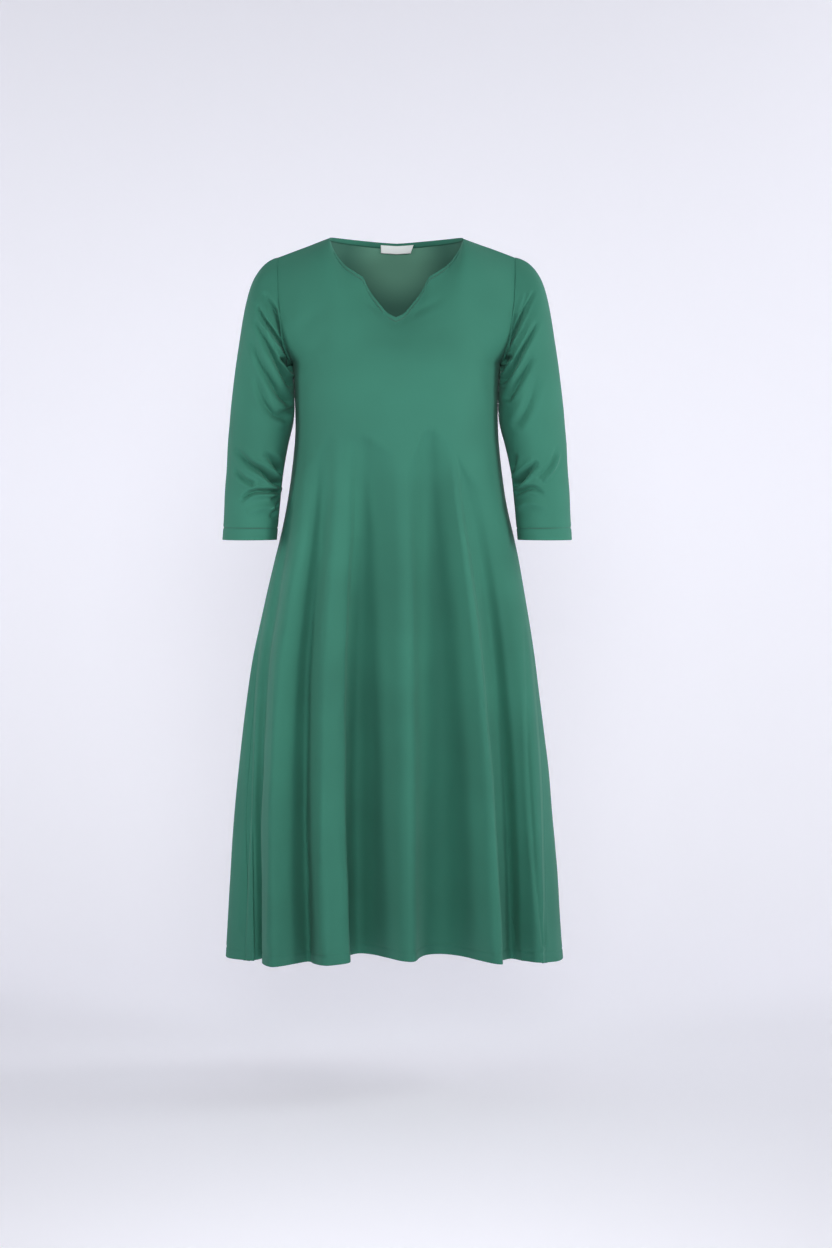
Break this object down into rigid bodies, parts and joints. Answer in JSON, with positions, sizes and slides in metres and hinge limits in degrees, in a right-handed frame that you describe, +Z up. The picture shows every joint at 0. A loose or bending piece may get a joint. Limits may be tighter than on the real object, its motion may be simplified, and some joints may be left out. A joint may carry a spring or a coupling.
{
  "type": "a-line dress",
  "caption": "A-line midi dress in smooth knit, in its worn form: round neck with a notched V, set-in three-quarter sleeves and a skirt falling in deep, soft, uneven folds.",
  "frame": {"origin": "midway between the two points where the shoulder seams meet the neckline", "axes": "+Z up the body, -Y the way the front faces, +X towards the wearer's left sleeve"},
  "size_m": [0.518, 0.2852, 1.0873],
  "materials": {
    "jersey": "smooth emerald green double-knit jersey, matt with a faint soft sheen, turned and stitched hems",
    "label": "bare white woven satin label"
  },
  "bodies": {
    "root": {"front_panel": "jersey", "back_panel": "jersey", "right_sleeve": "jersey", "left_sleeve": "jersey", "neck_label": "label"}
  },
  "joints": []
}
